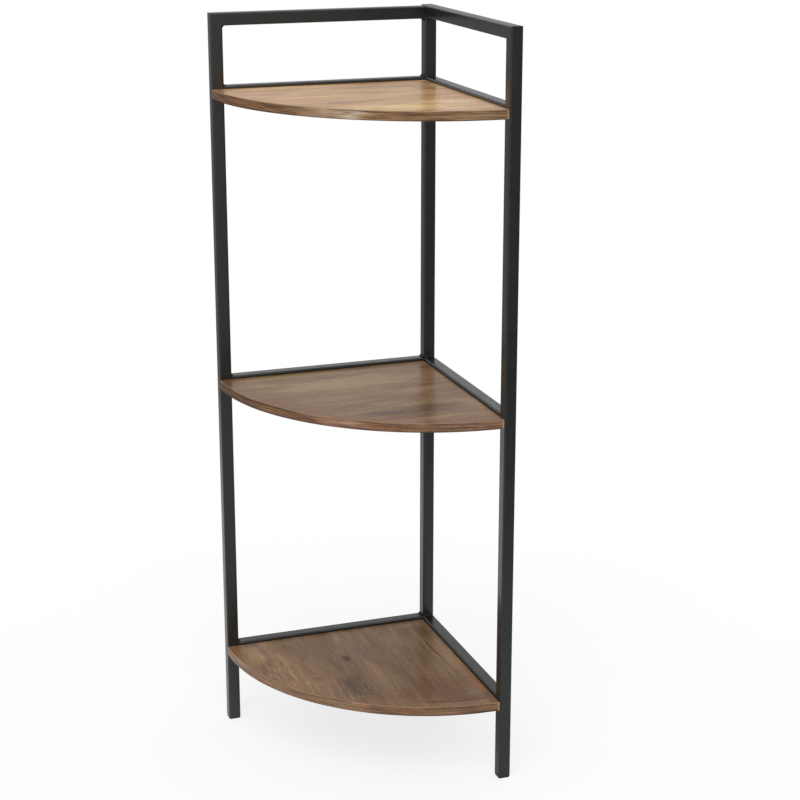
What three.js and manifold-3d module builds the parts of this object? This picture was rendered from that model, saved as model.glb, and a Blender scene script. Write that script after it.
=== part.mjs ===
// Corner shelf unit: three square-tube posts and eight rails welded into two frames at a right angle,
// with three quarter-round boards set inside the rails and screwed to tabs under them.
// Lengths are millimetres. +Z is up and the floor is z = 0. The back post stands at +X +Y,
// the left frame runs along X from it and the right frame runs along Y.

import * as THREE from 'three';
import { mergeVertices } from 'three/addons/utils/BufferGeometryUtils.js';
import Module from 'manifold-3d';

// Driving dimensions of the frames
const frameWidth = 305; // outside of a frame, post to post
const lowerRailTop = 115; // floor to the top of the lowest rails
const shelfPitch = 385; // from one shelf to the next
const guardHeight = 93; // from the upper shelf rails to the top of the right frame
const leftFrameDrop = 1.5; // the left frame ends this much lower than the right one
const tubeSize = 16; // square tube, outside
const tubeWall = 1.2;
const tubeCornerRadius = 2;

// Joints of the tubes
const weldLeg = 3; // fillet weld above and below a rail
const weldRoot = 0.5; // how deep a weld reaches into the piece that it is part of
const weldGap = 0.15; // between a weld and the post's rounded corner
const seamReachShare = 0.4; // share of the post's corner radius that a flush weld fills
const mitreGap = 0.2; // between the two halves of a mitred corner

// Shelf boards and their edge bands
const boardThickness = 12;
const boardGap = 0.5; // between a board's straight edges and the rails
const bandThickness = 1;
const glueGap = 0.1; // glue line between board and band

// Tabs under the boards
const tabThickness = 2;
const tabWidth = 20;
const tabReach = 20; // how far a tab reaches in under the board
const tabCornerRadius = 6;
const tabInset = 50; // from a post to the middle of the nearest tab
const tabWeldLeg = 1.5;
const tabEdgeMargin = 0.5; // flat metal left outside the tab's weld
const tabHoleDiameter = 4.5;
const tabHoleOffset = 10; // from the rail's inner face to the screw

// Pan-head wood screws, driven up through the tabs
const screwShankDiameter = 3.5;
const screwHeadDiameter = 7;
const screwHeadHeight = 2.2;
const screwRimHeight = 0.6; // straight side of the head under its dome
const screwLength = 11; // under the head
const screwTipLength = 3;
const recessWidth = 0.9; // cross recess
const recessSpan = 3.6;
const recessDepth = 1.1;
const pilotClearance = 0.3; // round the shank in the board
const pilotEndClearance = 0.5; // past the screw's tip

// Plastic plugs in the feet
const plugFlange = 2.5;
const plugInset = 0.3; // the flange is this much smaller than the tube, on each side
const plugEdgeRound = 0.4;
const plugStemHeight = 14;
const plugStemClearance = 1;
const plugStemWall = 1.5;
const plugStemRadius = 0.8;
const plugBarbClearance = 0.15;
const plugBarbHeight = 2.5;
const plugBarbPitch = 4;

const cutOverrun = 1; // how far a cutting shape runs past what it cuts
const mergeDistance = 0.0005; // vertices closer than this are one

// Counts
const cornerDivisions = 2; // a quarter round has twice as many flat faces
const weldDivisions = 2;
const boardDivisions = 32;
const holeDivisions = 8;
const screwSides = 12;
const domeSteps = 4;
const barbCount = 3;

// Places worked out from the dimensions
const halfTube = tubeSize / 2;
const outerFace = frameWidth / 2;
const innerFace = outerFace - tubeSize; // the rails' faces towards the boards
const postLine = outerFace - halfTube; // centre line of the posts and rails
const rightFrameTop = lowerRailTop + 2 * shelfPitch + guardHeight;
const leftFrameTop = rightFrameTop - leftFrameDrop;
const flatWidth = tubeSize - 2 * tubeCornerRadius; // flat part of a tube's face
const shelves = ['lower', 'middle', 'upper'].map((name, index) => {
  const railTop = lowerRailTop + index * shelfPitch;
  return { name, railTop, railBottom: railTop - tubeSize };
});

// Materials
const blackPowderCoat = new THREE.MeshStandardMaterial({ color: 0x26282a, roughness: 0.42, metalness: 0.2 });
const lightOakBoard = new THREE.MeshStandardMaterial({ color: 0xa9835f, roughness: 0.4, metalness: 0 });
const greyOakBoard = new THREE.MeshStandardMaterial({ color: 0x84694f, roughness: 0.4, metalness: 0 });
const darkOakBoard = new THREE.MeshStandardMaterial({ color: 0x765c47, roughness: 0.4, metalness: 0 });
const brownEdging = new THREE.MeshStandardMaterial({ color: 0x6e4e38, roughness: 0.45, metalness: 0 });
const blackPlastic = new THREE.MeshStandardMaterial({ color: 0x1c1c1d, roughness: 0.6, metalness: 0 });
const zincSteel = new THREE.MeshStandardMaterial({ color: 0xb9bcc0, roughness: 0.35, metalness: 0.9 });
const boardMaterials = { lower: darkOakBoard, middle: greyOakBoard, upper: lightOakBoard };

// Solids for joining and cutting
const wasm = await Module();
wasm.setup();

function toSolid(geometry) {
  const bare = geometry.clone();
  bare.deleteAttribute('normal');
  bare.deleteAttribute('uv');
  const merged = mergeVertices(bare, mergeDistance);
  const corners = merged.index.array;
  const kept = [];
  for (let i = 0; i < corners.length; i += 3) {
    const [a, b, c] = [corners[i], corners[i + 1], corners[i + 2]];
    if (a !== b && b !== c && c !== a) kept.push(a, b, c);
  }
  return new wasm.Manifold(new wasm.Mesh({
    numProp: 3,
    vertProperties: new Float32Array(merged.attributes.position.array),
    triVerts: new Uint32Array(kept),
  }));
}

function toGeometry(solid) {
  const mesh = solid.getMesh();
  const geometry = new THREE.BufferGeometry();
  geometry.setAttribute('position', new THREE.BufferAttribute(new Float32Array(mesh.vertProperties), 3));
  geometry.setIndex(new THREE.BufferAttribute(new Uint32Array(mesh.triVerts), 1));
  return geometry;
}

function combine(base, joined, cut) {
  let solid = toSolid(base);
  for (const geometry of joined) solid = solid.add(toSolid(geometry));
  for (const geometry of cut) solid = solid.subtract(toSolid(geometry));
  return toGeometry(solid);
}

// A rounded square around the origin
function roundedSquare(size, radius, path = new THREE.Shape()) {
  const centre = size / 2 - radius;
  path.moveTo(size / 2, -centre);
  path.absarc(centre, centre, radius, 0, Math.PI / 2, false);
  path.absarc(-centre, centre, radius, Math.PI / 2, Math.PI, false);
  path.absarc(-centre, -centre, radius, Math.PI, 1.5 * Math.PI, false);
  path.absarc(centre, -centre, radius, 1.5 * Math.PI, 2 * Math.PI, false);
  return path;
}

function extrude(shape, depth, curveSegments) {
  return new THREE.ExtrudeGeometry(shape, { depth, curveSegments, bevelEnabled: false });
}

// Tube along +Z from z = 0. A mitred end keeps its full length on the +X side, which is the outside
// of the corner, and loses the tube's own size on the -X side.
function tube(length, mitreStart, mitreEnd) {
  const section = roundedSquare(tubeSize, tubeCornerRadius);
  const bore = roundedSquare(tubeSize - 2 * tubeWall, tubeCornerRadius - tubeWall, new THREE.Path());
  section.holes.push(bore);
  const geometry = extrude(section, length, cornerDivisions);
  const place = geometry.attributes.position;
  for (let i = 0; i < place.count; i++) {
    const cutBack = halfTube - place.getX(i) + mitreGap / 2;
    const atEnd = place.getZ(i) > length / 2;
    if (atEnd && mitreEnd) place.setZ(i, length - cutBack);
    if (!atEnd && mitreStart) place.setZ(i, cutBack);
  }
  return geometry;
}

// Turns a profile drawn as (away from the plane that the weld meets, away from the face that it is
// part of) so that these two directions lie along the given axes, with its width centred.
function laid(profile, width, alongMet, alongFace) {
  const geometry = extrude(profile, width, weldDivisions);
  geometry.translate(0, 0, -width / 2);
  const across = new THREE.Vector3().crossVectors(alongMet, alongFace);
  return geometry.applyMatrix4(new THREE.Matrix4().makeBasis(alongMet, alongFace, across));
}

// Hollow fillet between a piece and the plane that it stands on
function filletProfile(leg) {
  const profile = new THREE.Shape();
  profile.moveTo(0, -weldRoot);
  profile.lineTo(leg, -weldRoot);
  profile.absarc(leg, leg, leg, -Math.PI / 2, -Math.PI, true);
  return profile;
}

// Weld ground flush, in the groove that a post's rounded corner leaves beside the rail's end
function seamProfile() {
  const reach = tubeCornerRadius * seamReachShare;
  const radius = tubeCornerRadius + weldGap;
  const outerAngle = Math.acos((tubeCornerRadius - reach) / radius);
  const profile = new THREE.Shape();
  profile.moveTo(weldRoot, 0);
  profile.lineTo(-reach, 0);
  profile.absarc(-tubeCornerRadius, -tubeCornerRadius, radius, outerAngle, 0, true);
  profile.lineTo(weldRoot, -tubeCornerRadius);
  return profile;
}

const axis = {
  x: new THREE.Vector3(1, 0, 0),
  y: new THREE.Vector3(0, 1, 0),
  z: new THREE.Vector3(0, 0, 1),
};

// Welds at one end of a rail that lies along its own +Z, top face towards +X.
// Faces: above and below get a fillet; sides holds 1 and -1 for the +Y and -Y faces ground flush.
function railWelds(place, intoRail, { above, below, sides }) {
  const along = axis.z.clone().multiplyScalar(intoRail);
  const welds = [];
  for (const [wanted, sign] of [[above, 1], [below, -1]]) {
    if (!wanted) continue;
    const outwards = axis.x.clone().multiplyScalar(sign);
    const weld = laid(filletProfile(weldLeg), flatWidth, along, outwards);
    welds.push(weld.translate(sign * halfTube, 0, place));
  }
  for (const sign of sides) {
    const outwards = axis.y.clone().multiplyScalar(sign);
    const weld = laid(seamProfile(), flatWidth, along, outwards);
    welds.push(weld.translate(0, sign * halfTube, place));
  }
  return welds;
}

// Foot plug: flange under the tube's end, and a hollow stem with barbs up inside it. Origin at the floor.
function footPlug() {
  const flangeSize = tubeSize - 2 * plugInset;
  const flange = new THREE.ExtrudeGeometry(roundedSquare(flangeSize, tubeCornerRadius), {
    depth: plugFlange - 2 * plugEdgeRound,
    curveSegments: cornerDivisions,
    bevelThickness: plugEdgeRound,
    bevelSize: plugEdgeRound,
    bevelOffset: -plugEdgeRound,
    bevelSegments: 2,
  });
  flange.translate(0, 0, plugEdgeRound);

  const boreSize = tubeSize - 2 * tubeWall;
  const stemSize = boreSize - 2 * plugStemClearance;
  const stemFoot = plugFlange - plugEdgeRound;
  const stem = extrude(roundedSquare(stemSize, plugStemRadius), plugStemHeight + plugEdgeRound, cornerDivisions);
  stem.translate(0, 0, stemFoot);

  const barbSize = boreSize - 2 * plugBarbClearance;
  const barbs = [];
  for (let i = 1; i <= barbCount; i++) {
    const barb = extrude(roundedSquare(barbSize, plugStemRadius), plugBarbHeight, cornerDivisions);
    const place = barb.attributes.position;
    for (let j = 0; j < place.count; j++) {
      const narrow = place.getZ(j) > plugBarbHeight / 2 ? stemSize / barbSize : 1;
      place.setXY(j, place.getX(j) * narrow, place.getY(j) * narrow);
    }
    barbs.push(barb.translate(0, 0, plugFlange + i * plugBarbPitch - plugBarbHeight));
  }

  const hollowSize = stemSize - 2 * plugStemWall;
  const hollow = extrude(roundedSquare(hollowSize, plugStemRadius), plugStemHeight + cutOverrun, cornerDivisions);
  hollow.translate(0, 0, plugFlange);
  return combine(flange, [stem, ...barbs], [hollow]);
}

// Board and band share the arc: centre at the board's inner corner, radius out to the posts' faces.
const boardRadius = innerFace - boardGap + outerFace;
const coreRadius = boardRadius - bandThickness - glueGap;

function shelfBoard(screwPlaces) {
  const outline = new THREE.Shape();
  outline.moveTo(0, 0);
  outline.lineTo(-coreRadius, 0);
  outline.absarc(0, 0, coreRadius, Math.PI, 1.5 * Math.PI, false);
  const pilotDepth = screwLength - tabThickness + pilotEndClearance;
  const pilotRadius = screwShankDiameter / 2 + pilotClearance;
  const pilots = screwPlaces.map(([x, y]) => {
    const pilot = new THREE.CylinderGeometry(pilotRadius, pilotRadius, pilotDepth + cutOverrun, screwSides);
    pilot.rotateX(Math.PI / 2);
    return pilot.translate(x, y, (pilotDepth - cutOverrun) / 2);
  });
  return combine(extrude(outline, boardThickness, boardDivisions), [], pilots);
}

function edgeBand() {
  const outline = new THREE.Shape();
  outline.absarc(0, 0, boardRadius, Math.PI, 1.5 * Math.PI, false);
  outline.absarc(0, 0, boardRadius - bandThickness, 1.5 * Math.PI, Math.PI, true);
  return extrude(outline, boardThickness, boardDivisions);
}

// Tab: its top face is z = 0, the rail's inner face is y = 0, and +Y runs in under the board.
const tabOverlap = tubeSize - tubeCornerRadius - tabWeldLeg - tabEdgeMargin; // under the rail

function supportTab() {
  const halfWidth = tabWidth / 2;
  const plate = new THREE.Shape();
  plate.moveTo(-halfWidth, -tabOverlap);
  plate.lineTo(halfWidth, -tabOverlap);
  plate.absarc(halfWidth - tabCornerRadius, tabReach - tabCornerRadius, tabCornerRadius, 0, Math.PI / 2, false);
  plate.absarc(tabCornerRadius - halfWidth, tabReach - tabCornerRadius, tabCornerRadius,
    Math.PI / 2, Math.PI, false);
  plate.holes.push(new THREE.Path().absarc(0, tabHoleOffset, tabHoleDiameter / 2, 0, 2 * Math.PI, true));
  const body = extrude(plate, tabThickness, holeDivisions);
  body.translate(0, 0, -tabThickness);
  const down = axis.z.clone().negate();
  const back = axis.y.clone().negate();
  const weld = laid(filletProfile(tabWeldLeg), tabWidth, down, back);
  return combine(body, [weld.translate(0, -tabOverlap, 0)], []);
}

// Wood screw: the underside of its head is z = 0 and its tip points to +Z.
function woodScrew() {
  const headRadius = screwHeadDiameter / 2;
  const shankRadius = screwShankDiameter / 2;
  const profile = [];
  for (let i = 0; i <= domeSteps; i++) {
    const angle = (Math.PI / 2) * (i / domeSteps);
    const domeHeight = screwHeadHeight - screwRimHeight;
    profile.push(new THREE.Vector2(headRadius * Math.sin(angle), -screwRimHeight - domeHeight * Math.cos(angle)));
  }
  profile[0].x = 0;
  profile.push(new THREE.Vector2(headRadius, 0));
  profile.push(new THREE.Vector2(shankRadius, 0));
  profile.push(new THREE.Vector2(shankRadius, screwLength - screwTipLength));
  profile.push(new THREE.Vector2(0, screwLength));
  const body = new THREE.LatheGeometry(profile, screwSides);
  body.rotateX(Math.PI / 2);
  const bars = [[recessSpan, recessWidth], [recessWidth, recessSpan]].map(([sizeX, sizeY]) => {
    const bar = new THREE.BoxGeometry(sizeX, sizeY, recessDepth + cutOverrun);
    return bar.translate(0, 0, -screwHeadHeight + (recessDepth - cutOverrun) / 2);
  });
  return combine(body, [], bars);
}

// Assembly
const unit = new THREE.Group();

function add(parent, name, geometry, material) {
  const mesh = new THREE.Mesh(geometry, material);
  mesh.name = name;
  parent.add(mesh);
  return mesh;
}

// Turns a tube's own +Z to run along one direction and its own +X to face another.
function aim(mesh, along, outwards) {
  const across = new THREE.Vector3().crossVectors(along, outwards);
  mesh.setRotationFromMatrix(new THREE.Matrix4().makeBasis(outwards, across, along));
  return mesh;
}

// Posts stand on their plugs and are mitred to the top rails.
const posts = [
  { name: 'left', x: -postLine, y: postLine, top: leftFrameTop, outwards: axis.x.clone().negate() },
  { name: 'back', x: postLine, y: postLine, top: rightFrameTop, outwards: axis.y },
  { name: 'right', x: postLine, y: -postLine, top: rightFrameTop, outwards: axis.y.clone().negate() },
];
const plugGeometry = footPlug();
for (const { name, x, y, top, outwards } of posts) {
  const post = add(unit, `${name}_post`, tube(top - plugFlange, false, true), blackPowderCoat);
  aim(post, axis.z, outwards).position.set(x, y, plugFlange);
  add(unit, `${name}_foot_plug`, plugGeometry, blackPlastic).position.set(x, y, 0);
}

// Top rails. The right one is mitred at both ends, the left one butts against the back post.
const leftTopTube = tube(frameWidth - tubeSize, true, false);
const leftTopWelds = [
  ...railWelds(tubeSize, 1, { above: false, below: true, sides: [] }),
  ...railWelds(frameWidth - tubeSize, -1, { above: false, below: true, sides: [-1] }),
];
const leftTopRail = add(unit, 'left_top_rail', combine(leftTopTube, leftTopWelds, []), blackPowderCoat);
aim(leftTopRail, axis.x, axis.z).position.set(-outerFace, postLine, leftFrameTop - halfTube);

const rightTopWelds = [
  ...railWelds(tubeSize, 1, { above: false, below: true, sides: [] }),
  ...railWelds(frameWidth - tubeSize, -1, { above: false, below: true, sides: [] }),
];
const rightTopTube = tube(frameWidth, true, true);
const rightTopRail = add(unit, 'right_top_rail', combine(rightTopTube, rightTopWelds, []), blackPowderCoat);
aim(rightTopRail, axis.y, axis.z).position.set(postLine, -outerFace, rightFrameTop - halfTube);

// Shelf rails run from the end post to the back post. Only their wall side is ground flush at the
// back post, because the two rails meet in its inner corner.
const railLength = 2 * innerFace;
function shelfRail(wallSide) {
  const welds = [
    ...railWelds(0, 1, { above: true, below: true, sides: [1, -1] }),
    ...railWelds(railLength, -1, { above: true, below: true, sides: [wallSide] }),
  ];
  return combine(tube(railLength, false, false), welds, []);
}
const leftRailGeometry = shelfRail(-1);
const rightRailGeometry = shelfRail(1);

// Tabs and screws. Along a rail, the outer pair is next to the end post and the inner pair next to
// the back post.
const tabGeometry = supportTab();
const screwGeometry = woodScrew();
const bandGeometry = edgeBand();
const tabPlaces = [{ name: 'outer', along: tabInset - innerFace }, { name: 'inner', along: innerFace - tabInset }];
const boardCorner = innerFace - boardGap;
const screwLine = innerFace - tabHoleOffset;
const screwPlaces = tabPlaces.flatMap(({ along }) => [
  [along - boardCorner, screwLine - boardCorner],
  [screwLine - boardCorner, along - boardCorner],
]);

for (const { name, railTop, railBottom } of shelves) {
  const leftRail = add(unit, `left_${name}_shelf_rail`, leftRailGeometry, blackPowderCoat);
  aim(leftRail, axis.x, axis.z).position.set(-innerFace, postLine, railTop - halfTube);
  const rightRail = add(unit, `right_${name}_shelf_rail`, rightRailGeometry, blackPowderCoat);
  aim(rightRail, axis.y, axis.z).position.set(postLine, -innerFace, railTop - halfTube);

  // The board rests on the tabs, which are welded under the rails.
  const shelf = new THREE.Group();
  shelf.position.set(0, 0, railBottom);
  unit.add(shelf);
  const board = add(shelf, `${name}_shelf_board`, shelfBoard(screwPlaces), boardMaterials[name]);
  board.position.set(boardCorner, boardCorner, 0);
  const band = add(shelf, `${name}_shelf_edge_band`, bandGeometry, brownEdging);
  band.position.set(boardCorner, boardCorner, 0);

  for (const { name: place, along } of tabPlaces) {
    const leftTab = add(shelf, `${name}_left_${place}_tab`, tabGeometry, blackPowderCoat);
    leftTab.rotation.z = Math.PI;
    leftTab.position.set(along, innerFace, 0);
    const rightTab = add(shelf, `${name}_right_${place}_tab`, tabGeometry, blackPowderCoat);
    rightTab.rotation.z = Math.PI / 2;
    rightTab.position.set(innerFace, along, 0);

    const leftScrew = add(shelf, `${name}_left_${place}_screw`, screwGeometry, zincSteel);
    leftScrew.position.set(along, screwLine, -tabThickness);
    const rightScrew = add(shelf, `${name}_right_${place}_screw`, screwGeometry, zincSteel);
    rightScrew.position.set(screwLine, along, -tabThickness);
  }
}

export default unit;
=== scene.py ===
# %% [markdown]
# # Corner shelf unit
# A narrow shelf unit that stands in the corner of a room. Two black steel frames meet at a right angle
# and carry three quarter-round boards with a wood decor.
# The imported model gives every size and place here, in metres, with +Z up. Each piece below is modelled
# over the solid of the same name, so the two agree, and only the finish and the fine edges are new.

import math

import bmesh
import bpy
from mathutils import Matrix, Vector


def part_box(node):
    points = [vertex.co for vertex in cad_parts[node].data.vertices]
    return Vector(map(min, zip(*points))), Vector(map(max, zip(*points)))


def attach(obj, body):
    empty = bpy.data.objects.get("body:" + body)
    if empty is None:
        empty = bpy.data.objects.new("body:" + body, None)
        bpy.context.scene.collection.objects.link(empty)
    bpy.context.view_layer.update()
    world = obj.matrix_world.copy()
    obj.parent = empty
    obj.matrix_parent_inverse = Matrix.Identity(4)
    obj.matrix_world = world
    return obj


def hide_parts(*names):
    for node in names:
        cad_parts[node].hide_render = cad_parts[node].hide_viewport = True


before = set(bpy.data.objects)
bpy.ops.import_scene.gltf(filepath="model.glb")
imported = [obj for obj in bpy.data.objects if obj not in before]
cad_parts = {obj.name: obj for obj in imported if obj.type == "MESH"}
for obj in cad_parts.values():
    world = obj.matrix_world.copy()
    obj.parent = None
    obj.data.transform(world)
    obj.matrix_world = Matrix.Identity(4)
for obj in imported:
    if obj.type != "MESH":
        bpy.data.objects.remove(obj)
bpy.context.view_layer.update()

# %% [markdown]
# ## Working by hand
# An operator acts on whatever is selected. The loaded solids are all selected at the start, so each new
# piece begins with nothing selected, and its faces and edges are then picked by where they are or which
# way they face. These few helpers do the picking.

# %% Helpers for adding and picking
X_AXIS, Y_AXIS, Z_AXIS = 0, 1, 2
X_DIR, Y_DIR, UP = Vector((1, 0, 0)), Vector((0, 1, 0)), Vector((0, 0, 1))
ORIGIN = (0, 0, 0)
NEAR = 1e-5  # two places closer than this are the same place
STRAIGHT, FACING = 0.999, 0.9  # the least share of an axis in an edge along it, and in a face's normal


def edit_mode():
    bpy.ops.object.mode_set(mode="EDIT")


def object_mode():
    bpy.ops.object.mode_set(mode="OBJECT")


def start_clean():
    if bpy.context.mode != "OBJECT":
        object_mode()
    bpy.ops.object.select_all(action="DESELECT")


def work_on(piece):
    start_clean()
    piece.select_set(True)
    bpy.context.view_layer.objects.active = piece


def take_primitive(name):
    """Names the primitive that was just added and moves its place and size into its mesh."""
    piece = bpy.context.object
    piece.name = piece.data.name = name
    bpy.ops.object.transform_apply(location=True, rotation=True, scale=True)
    return piece


def add_block(name, low, high):
    start_clean()
    low, high = Vector(low), Vector(high)
    bpy.ops.mesh.primitive_cube_add(size=1, location=(low + high) / 2, scale=high - low)
    return take_primitive(name)


def pick_all():
    bpy.ops.mesh.select_all(action="SELECT")


def pick(piece, kind, test):
    """In edit mode, selects only the faces, edges or vertices that pass the test."""
    bpy.ops.mesh.select_mode(type={"faces": "FACE", "edges": "EDGE", "verts": "VERT"}[kind])
    bpy.ops.mesh.select_all(action="DESELECT")
    mesh = bmesh.from_edit_mesh(piece.data)
    for part in getattr(mesh, kind):
        if test(part):
            part.select_set(True)
    mesh.select_flush_mode()
    bmesh.update_edit_mesh(piece.data)


def runs_along(edge, axis):
    direction = (edge.verts[1].co - edge.verts[0].co).normalized()
    return abs(direction[axis]) > STRAIGHT


def middle_of(edge):
    return (edge.verts[0].co + edge.verts[1].co) / 2


# %% Helpers for shaping
ROUND_STEPS = 32  # sides of a drilled hole and of a screw


def bevel(width, steps, profile=0.5, affect="EDGES"):
    """Rounds what is picked. A profile of a half is round, and a smaller one is hollow."""
    bpy.ops.mesh.bevel(offset=width, segments=steps, profile=profile, affect=affect)


def round_rims(piece, width, steps):
    """Rounds the edges all round the flat top and underside."""
    flat = lambda face: abs(face.normal.z) > FACING
    pick(piece, "edges", lambda edge: sum(flat(face) for face in edge.link_faces) == 1)
    bevel(width, steps)


def draw_up(step):
    bpy.ops.mesh.extrude_region_move(TRANSFORM_OT_translate={"value": (0, 0, step)})


def widen(share):
    bpy.ops.transform.resize(value=(share, share, 1), center_override=ORIGIN)


def apply_modifier(piece, kind, **settings):
    work_on(piece)
    modifier = piece.modifiers.new(kind.lower(), kind)
    for key, value in settings.items():
        setattr(modifier, key, value)
    bpy.ops.object.modifier_apply(modifier=modifier.name)


def combine(piece, tool, operation):
    """Adds the tool to the piece, or takes it away from it, and clears the tool away."""
    apply_modifier(piece, "BOOLEAN", operation=operation, solver="EXACT", object=tool)
    bpy.data.objects.remove(tool)


def pierce(piece, radius, place, depth):
    """A round hole along Z, centred at the place."""
    start_clean()
    bpy.ops.mesh.primitive_cylinder_add(vertices=ROUND_STEPS, radius=radius, depth=depth, location=place)
    combine(piece, take_primitive("drill"), "DIFFERENCE")


def smooth_corners(piece, degrees=35):
    """Rounded corners shade smoothly while the flat faces between them stay flat."""
    work_on(piece)
    bpy.ops.object.shade_smooth_by_angle(angle=math.radians(degrees))
    apply_modifier(piece, "WEIGHTED_NORMAL", keep_sharp=True)


# %% Helpers for placing and finishing
def corner_matrix(point, first, second):
    """Carries the origin to the point, with X and Y turned to the two directions."""
    turn = Matrix((first, second, first.cross(second))).transposed().to_4x4()
    return Matrix.Translation(point) @ turn


def placed_copy(piece, name, matrix):
    """A copy with a mesh of its own that is moved to its place."""
    copy = piece.copy()
    copy.data = piece.data.copy()
    copy.name = copy.data.name = name
    copy.data.transform(matrix)
    bpy.context.scene.collection.objects.link(copy)
    return copy


def clear_away(*patterns):
    for pattern in patterns:
        bpy.data.objects.remove(pattern)


def finished(piece, node, material):
    """Puts a finished piece in the place of the solid that it was modelled over."""
    piece.data.materials.clear()
    piece.data.materials.append(material)
    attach(piece, "root")
    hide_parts(node)


def report(title, pieces):
    faces = sum(len(piece.data.polygons) for piece in pieces)
    print(title, "- pieces:", len(pieces), "faces:", faces)


# %% [markdown]
# ## Building a finish from nodes
# Every finish is a small graph of nodes, and a signal is what flows out of a node. Each helper adds a
# node behind the signals that it is given, and returns the new node's signal. Signals can also be added,
# subtracted, multiplied and divided, which adds a Math node each time, so a finish reads like a recipe.

# %% Signals
class Signal:
    def __init__(self, socket):
        self.socket = socket

    def __add__(self, other):
        return math_node("ADD", self, other)

    def __sub__(self, other):
        return math_node("SUBTRACT", self, other)

    def __rsub__(self, other):
        return math_node("SUBTRACT", other, self)

    def __mul__(self, other):
        return math_node("MULTIPLY", self, other)

    def __truediv__(self, other):
        return math_node("DIVIDE", self, other)


def feed(socket, value):
    if isinstance(value, Signal):
        socket.id_data.links.new(value.socket, socket)
    else:
        socket.default_value = value


def source(tree, kind, output=0, inputs=None, **settings):
    """Adds a node to the tree and returns its signal."""
    node = tree.nodes.new(kind)
    for key, value in settings.items():
        setattr(node, key, value)
    for key, value in (inputs or {}).items():
        feed(node.inputs[key], value)
    return Signal(node.outputs[output])


def node_after(kind, inputs, output=0, **settings):
    """Adds a node behind the signals among its inputs and returns its signal."""
    tree = next(value.socket.id_data for value in inputs.values() if isinstance(value, Signal))
    return source(tree, kind, output, inputs, **settings)


def math_node(operation, *values):
    return node_after("ShaderNodeMath", dict(enumerate(values)), operation=operation)


def vector_math(operation, first, second=ORIGIN):
    output = "Value" if operation == "LENGTH" else "Vector"
    return node_after("ShaderNodeVectorMath", {0: first, 1: second}, output, operation=operation)


def parts_of(place):
    """The X, Y and Z of a place."""
    node = node_after("ShaderNodeSeparateXYZ", {"Vector": place}).socket.node
    return [Signal(output) for output in node.outputs]


# %% Helpers for colours and patterns
NOISE_LOW, NOISE_HIGH = 0.3, 0.7  # nearly all of a noise lies between these


def ramp(factor, stops):
    """A colour or grey ramp. Each stop is a place and a colour or a grey."""
    shown = node_after("ShaderNodeValToRGB", {"Fac": factor}, "Color")
    elements = shown.socket.node.color_ramp.elements
    while len(elements) < len(stops):
        elements.new(0.5)
    for element, (place, colour) in zip(elements, stops):
        element.position = place
        element.color = (*colour, 1) if isinstance(colour, tuple) else (colour, colour, colour, 1)
    return shown


def varied(pattern, low, high):
    """Goes from the low colour or grey to the high one as the noise rises."""
    return ramp(pattern, [(NOISE_LOW, low), (NOISE_HIGH, high)])


def blend_colours(factor, below, above, way="MIX"):
    inputs = {0: factor, 6: below, 7: above}
    inputs = {key: (*value, 1) if isinstance(value, tuple) else value for key, value in inputs.items()}
    return node_after("ShaderNodeMix", inputs, 2, data_type="RGBA", blend_type=way)


def times(colour, grey):
    return blend_colours(1.0, colour, grey, "MULTIPLY")


def noise(place, scale, detail=2.0, roughness=0.5):
    inputs = {"Vector": place, "Scale": scale, "Detail": detail, "Roughness": roughness}
    return node_after("ShaderNodeTexNoise", inputs)


def fade(value, start, end):
    """Smoothly from 0 at the start to 1 at the end."""
    inputs = {"Value": value, "From Min": min(start, end), "From Max": max(start, end)}
    shown = node_after("ShaderNodeMapRange", inputs, interpolation_type="SMOOTHSTEP")
    return shown if end > start else 1.0 - shown


def mapped(tree, rotation=(0, 0, 0), scale=(1, 1, 1)):
    """Object coordinates, turned and stretched."""
    start = source(tree, "ShaderNodeTexCoord", "Object")
    return node_after("ShaderNodeMapping", {"Vector": start, "Rotation": rotation, "Scale": scale})


# %% Helpers for a whole finish
def new_finish(name):
    material = bpy.data.materials.new(name)
    material.use_nodes = True
    tree = material.node_tree
    tree.nodes.clear()
    shader = tree.nodes.new("ShaderNodeBsdfPrincipled")
    output = tree.nodes.new("ShaderNodeOutputMaterial")
    tree.links.new(shader.outputs["BSDF"], output.inputs["Surface"])
    return material, tree, shader


def dress(shader, colour, roughness, height, strength, depth):
    """Feeds the shader, with a bump of this strength and depth in metres where the height rises."""
    feed(shader.inputs["Base Color"], colour)
    feed(shader.inputs["Roughness"], roughness)
    bump = node_after("ShaderNodeBump", {"Height": height, "Strength": strength, "Distance": depth})
    feed(shader.inputs["Normal"], bump)


# %% [markdown]
# ## Black powder coat
# The frame is sprayed with dry powder that melts in an oven into a tough semi-gloss skin. Seen close it
# has the faint waviness of orange peel, and its gloss changes a little from place to place. A near-black
# base with one bump of about a millimetre and one much finer gives that. The look on the tubes comes
# mostly from what the gloss mirrors, so the colour itself stays plain. On a weld the powder lies over
# spatter and scale and comes out matt, which makes the joints look darker than the tubes.

# %% Powder coat finish
POWDER_BLACK = (0.0055, 0.007, 0.0071, 1)
GLOSS_CLOUDS, PEEL, GRIT = 60.0, 900.0, 2600.0  # spots to a metre
GRIT_SHARE = 0.2  # how high the grit stands against the peel
PEEL_STRENGTH, PEEL_DEPTH = 0.24, 0.00006


def powder_coat(name, specular_level, roughness):
    material, tree, shader = new_finish(name)
    shader.inputs["Specular IOR Level"].default_value = specular_level
    place = mapped(tree)
    gloss = varied(noise(place, GLOSS_CLOUDS, detail=3.0), *roughness)
    height = noise(place, PEEL, detail=1.0) + noise(place, GRIT) * GRIT_SHARE
    dress(shader, POWDER_BLACK, gloss, height, PEEL_STRENGTH, PEEL_DEPTH)
    return material


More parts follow.
